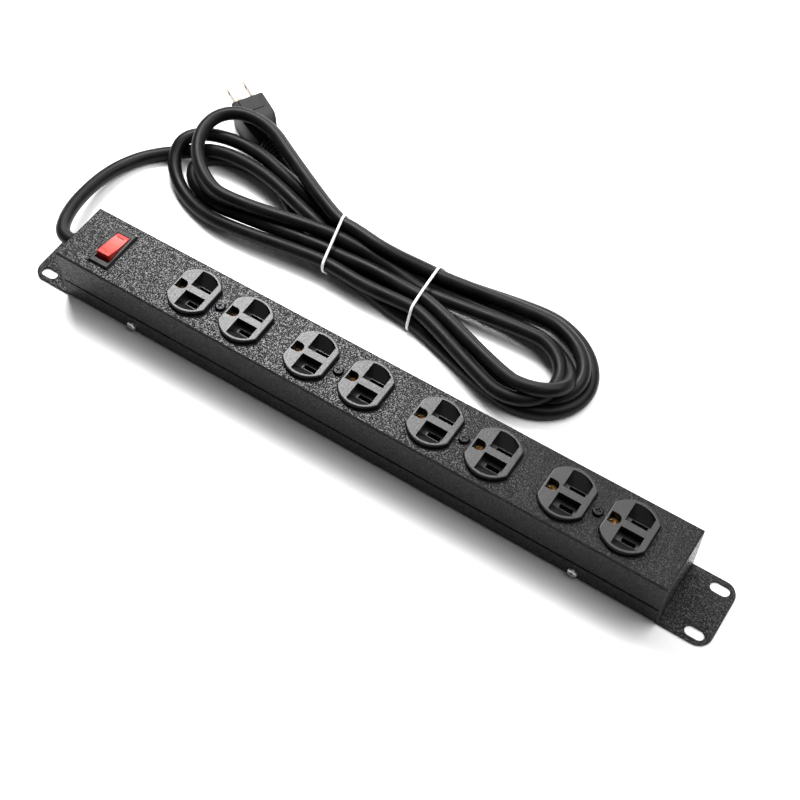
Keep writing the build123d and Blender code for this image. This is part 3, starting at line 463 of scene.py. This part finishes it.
# ---------------------------------------------------------------- plug and strain relief
PLUG_TOP = 0.023
# Stations along the plug from its face: distance, half width, low z, high z, corner radius.
PLUG_STATIONS = [
    (0.0000, 0.0108, 0.0010, 0.0221, 0.0010),
    (0.0007, 0.0116, 0.0002, 0.0229, 0.0012),
    (0.0016, 0.0118, 0.0000, 0.0230, 0.0013),
    (0.0140, 0.0118, 0.0000, 0.0230, 0.0013),
    (0.0210, 0.0117, 0.0001, 0.0230, 0.0016),
    (0.0250, 0.0108, 0.0012, 0.0222, 0.0026),
    (0.0300, 0.0090, 0.0030, 0.0200, 0.0040),
    (0.0340, 0.0072, 0.0045, 0.0185, 0.0056),
    (0.0352, 0.0068, 0.0048, 0.0182, 0.0064),
]
# The raised panel on the plug's top, along the plug from its face.
PANEL_START = 0.0010
PANEL_END = 0.0140
PANEL_HALF_WIDTH = 0.0072
PANEL_RISE = 0.0004
PANEL_DEPTH = 0.0012
PANEL_BEVEL = 0.0004
# The plug's ribbed sleeve.
SLEEVE_START = 0.0358
SLEEVE_RADIUS = 0.0064
SLEEVE_END_RADIUS = 0.0052
RIBS = 6
RIB_PITCH = 0.0032
RIB_HEIGHT = 0.0005
# Where a rib's groove ends, and where the rib itself starts and ends, from the groove's start.
GROOVE_END = 0.0007
RIB_START = 0.0010
RIB_END = 0.0029
# A rib's height at its end, as a share of its full height.
RIB_FALL = 0.7
SLEEVE_RIM = 0.0008
SLEEVE_LENGTH_PAST_RIBS = 0.0012
SLEEVE_END_GRIP = 0.0002


def plug_matrix():
    """Places what is drawn with the plug's face at x = 0 and its cord towards +X."""
    return Matrix.Translation(PLUG_FACE) @ Matrix.Rotation(PLUG_HEADING, 4, "Z")


def sleeve_rings():
    """Rings of the plug's tapered round sleeve, with raised ribs along it."""
    stations = []
    for rib in range(RIBS):
        radius = SLEEVE_RADIUS + (SLEEVE_END_RADIUS - SLEEVE_RADIUS) * rib / RIBS
        x = SLEEVE_START + rib * RIB_PITCH
        stations += [(x, radius - RIB_HEIGHT), (x + GROOVE_END, radius - RIB_HEIGHT),
                     (x + RIB_START, radius + RIB_HEIGHT), (x + RIB_END, radius + RIB_HEIGHT * RIB_FALL)]
    x = SLEEVE_START + RIBS * RIB_PITCH
    stations += [(x, SLEEVE_END_RADIUS - RIB_HEIGHT), (x + SLEEVE_RIM, SLEEVE_END_RADIUS - RIB_HEIGHT),
                 (x + SLEEVE_LENGTH_PAST_RIBS, CORD_RADIUS - SLEEVE_END_GRIP)]
    return [round_section(x, radius, PLUG_CORD_Z) for x, radius in stations]


def make_plug(material):
    """Moulded plug body with its ribbed strain relief as one skin."""
    rings = [rounded_section(*station) for station in PLUG_STATIONS]
    vertices, faces = skin_rings(rings + sleeve_rings())
    piece = new_mesh_object("plug_moulding", vertices, faces, material)
    piece.data.set_sharp_from_angle(angle=math.radians(CREASE_ANGLE))
    piece.data.transform(plug_matrix())
    return piece


def make_plug_panel(material):
    """The low raised panel on the plug's top, with bevelled edges."""
    bottom = PLUG_TOP - PANEL_DEPTH
    top = PLUG_TOP + PANEL_RISE
    rings = []
    for x, drop in ((PANEL_START, PANEL_BEVEL), (PANEL_START + PANEL_BEVEL, 0.0),
                    (PANEL_END - PANEL_BEVEL, 0.0), (PANEL_END, PANEL_BEVEL)):
        shoulder = top - drop - PANEL_BEVEL
        flat = PANEL_HALF_WIDTH - PANEL_BEVEL
        rings.append([(x, -PANEL_HALF_WIDTH, bottom), (x, -PANEL_HALF_WIDTH, shoulder),
                      (x, -flat, top - drop), (x, flat, top - drop),
                      (x, PANEL_HALF_WIDTH, shoulder), (x, PANEL_HALF_WIDTH, bottom)])
    vertices, faces = skin_rings(rings)
    piece = new_mesh_object("plug_front_panel", vertices, faces, material, smooth=False)
    piece.data.transform(plug_matrix())
    return piece


def make_strain_relief(material):
    """Turned bushing in the end flap, its ribbed nose tapering to the cord."""
    low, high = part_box("strain_relief")
    tip_x = low[0]
    inner_x = high[0]
    wall_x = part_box("top_cover")[0][0]
    # Place along X and radius: the rounded nose with its bead, the flange, the part in the case.
    stations = [
        (tip_x, 0.0048), (tip_x, 0.0056), (tip_x + 0.0008, 0.0060), (tip_x + 0.0014, 0.0056),
        (tip_x + 0.0022, 0.0062), (tip_x + 0.0028, 0.0068), (tip_x + 0.0034, 0.0066),
        (wall_x - 0.0080, 0.0080), (wall_x - 0.0068, 0.0092), (wall_x - 0.0040, 0.0095),
        (wall_x, 0.0096), (wall_x, 0.0080), (wall_x + 0.0012, 0.0080), (inner_x, 0.0066), (inner_x, 0.0048),
    ]
    rings = [round_section(x, radius, RELIEF_Z) for x, radius in stations]
    vertices, faces = skin_rings(rings)
    piece = new_mesh_object("strain_relief_bushing", vertices, faces, material)
    piece.data.transform(Matrix.Translation((0, RELIEF_Y, 0)))
    piece.data.set_sharp_from_angle(angle=math.radians(CREASE_ANGLE))
    return piece


# ---------------------------------------------------------------- dress the CAD nodes
def dress_nodes():
    """Gives each CAD node the finish whose key ends its name, and small round edges."""
    for name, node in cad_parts.items():
        finish = next(FINISHES[key] for key in FINISHES if name.endswith(key))
        for material_slot in node.material_slots:
            material_slot.material = finish
        width = next((ROUNDED_EDGES[key] for key in ROUNDED_EDGES if name.endswith(key)), None)
        if width:
            soften(node, width)


paint = hammertone_paint()
grey_plastic = satin_moulding("receptacle_grey", (0.008, 0.008, 0.0083), (0.012, 0.012, 0.0124), 0.32,
                              specular=0.27)
black_plastic = satin_moulding("black_moulding", (0.004, 0.004, 0.0042), (0.008, 0.008, 0.0084), 0.36,
                               specular=0.12)
plug_plastic = satin_moulding("plug_charcoal", (0.008, 0.008, 0.0085), (0.015, 0.015, 0.0155), 0.46,
                              speckle=1100, relief=0.0002, specular=0.12)
jacket = cord_jacket()
brass = bright_metal("brass", (0.78, 0.52, 0.22), 0.28)
nickel = bright_metal("nickel_plate", (0.26, 0.22, 0.17), 0.32)
zinc = bright_metal("zinc_plate", (0.70, 0.71, 0.72), 0.30)
black_oxide = bright_metal("black_oxide", (0.014, 0.014, 0.015), 0.28)
red = rocker_red()
white_plastic = satin_moulding("white_insulation", (0.66, 0.66, 0.64), (0.80, 0.80, 0.78), 0.4)
green_plastic = satin_moulding("green_insulation", (0.03, 0.26, 0.08), (0.05, 0.35, 0.12), 0.4)
tie_white = tie_plastic()

FINISHES = {
    "base_pan": paint, "top_cover": paint, "cover_screws": zinc, "centre_screw": black_oxide,
    "_front": grey_plastic, "_back": black_plastic, "_contacts": brass, "_ground_strap": zinc,
    "terminal_screws": brass, "switch_housing": black_plastic, "switch_rocker": red,
    "switch_plunger": white_plastic, "switch_spring": zinc, "switch_contact_arm": brass,
    "switch_terminals": brass, "switch_lamp": lamp_glass(), "strain_relief": black_plastic,
    "cord_entry": jacket, "line_in_wire": jacket, "line_wire": jacket, "neutral_wire": white_plastic,
    "ground_wire": green_plastic,
    "ground_lug": brass, "ground_nut": zinc, "cord_lead": jacket, "cord_tail": jacket, "cord_hank": jacket,
    "cord_ties": tie_white, "plug_body": plug_plastic, "plug_blades": nickel, "plug_ground_pin": nickel,
}
# Width of the small round edges, in metres.
ROUNDED_EDGES = {"base_pan": 0.00025, "top_cover": 0.0002, "_front": 0.0002, "switch_housing": 0.0002,
                 "switch_rocker": 0.00015, "plug_blades": 0.0003}
dress_nodes()

cord, cord_path = make_mains_cord(jacket)
ties = [make_tie(tie, tie_white) for tie in range(len(TIE_X))]
plug = make_plug(plug_plastic)
panel = make_plug_panel(plug_plastic)
bushing = make_strain_relief(black_plastic)
for piece in (cord, *ties, plug, panel, bushing):
    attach(piece, "body")
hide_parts("cord_lead", "cord_tail", "cord_hank")
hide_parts("plug_body")
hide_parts("strain_relief")
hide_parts("cord_ties")

# ---------------------------------------------------------------- stage, light and camera
FLOOR_HALF = 6.0
WORLD_STRENGTH = 0.07
# Soft boxes: name, place, point that it faces, width, watts.
LIGHTS = [
    ("overhead", (0.42, 0.45, 1.15), (0.0, 0.05, 0.0), 1.1, 22),
    ("key", (-0.66, 0.66, 1.20), (-0.10, 0.03, 0.02), 0.60, 38),
    ("back", (-0.50, 1.45, 0.40), (0.0, 0.0, 0.03), 0.9, 14),
]
TARGET = Vector((0.01152, 0.02557, 0.0))
CAMERA_AZIMUTH = math.radians(33.25)
CAMERA_ELEVATION = math.radians(56.62)
CAMERA_DISTANCE = 0.885
CAMERA_ROLL = math.radians(-0.277)
CAMERA_LENS = 65.02
SENSOR_WIDTH = 36.0
CLIP_START = 0.01
CLIP_END = 50


def make_floor():
    """One large sheet of paper, its edges far outside every view."""
    vertices = [(-FLOOR_HALF, -FLOOR_HALF, 0), (FLOOR_HALF, -FLOOR_HALF, 0), (FLOOR_HALF, FLOOR_HALF, 0),
                (-FLOOR_HALF, FLOOR_HALF, 0)]
    floor = new_mesh_object("floor", vertices, [(0, 1, 2, 3)], white_floor(), smooth=False)


def make_area_light(name, place, aim, width, power):
    """A square soft box that faces a point."""
    data = bpy.data.lights.new(name, "AREA")
    data.shape = "SQUARE"
    data.size = width
    data.energy = power
    light = bpy.data.objects.new(name, data)
    light.location = place
    light.rotation_euler = (Vector(aim) - Vector(place)).to_track_quat("-Z", "Y").to_euler()
    bpy.context.collection.objects.link(light)


def make_world():
    """Even white studio surroundings."""
    world = bpy.data.worlds.new("studio")
    world.use_nodes = True
    background = world.node_tree.nodes["Background"]
    background.inputs["Color"].default_value = (1, 1, 1, 1)
    background.inputs["Strength"].default_value = WORLD_STRENGTH
    bpy.context.scene.world = world


def make_camera():
    """The camera, aimed from the front right and above, with its slight roll."""
    flat = math.cos(CAMERA_ELEVATION)
    back = Vector((math.sin(CAMERA_AZIMUTH) * flat, -math.cos(CAMERA_AZIMUTH) * flat,
                   math.sin(CAMERA_ELEVATION)))
    right = Vector((0, 0, 1)).cross(back).normalized()
    up = back.cross(right)
    turn = Matrix.Rotation(CAMERA_ROLL, 4, back)
    right = turn @ right
    up = turn @ up
    pose = Matrix((right, up, back)).transposed().to_4x4()
    pose.translation = TARGET + back * CAMERA_DISTANCE
    data = bpy.data.cameras.new("camera")
    data.lens = CAMERA_LENS
    data.sensor_width = SENSOR_WIDTH
    data.clip_start = CLIP_START
    data.clip_end = CLIP_END
    camera = bpy.data.objects.new("camera", data)
    camera.matrix_world = pose
    bpy.context.collection.objects.link(camera)
    bpy.context.scene.camera = camera


make_floor()
make_world()
for name, place, aim, width, power in LIGHTS:
    make_area_light(name, place, aim, width, power)
make_camera()
bpy.context.scene.view_settings.view_transform = "Standard"
bpy.context.scene.view_settings.look = "None"

bpy.context.view_layer.update()
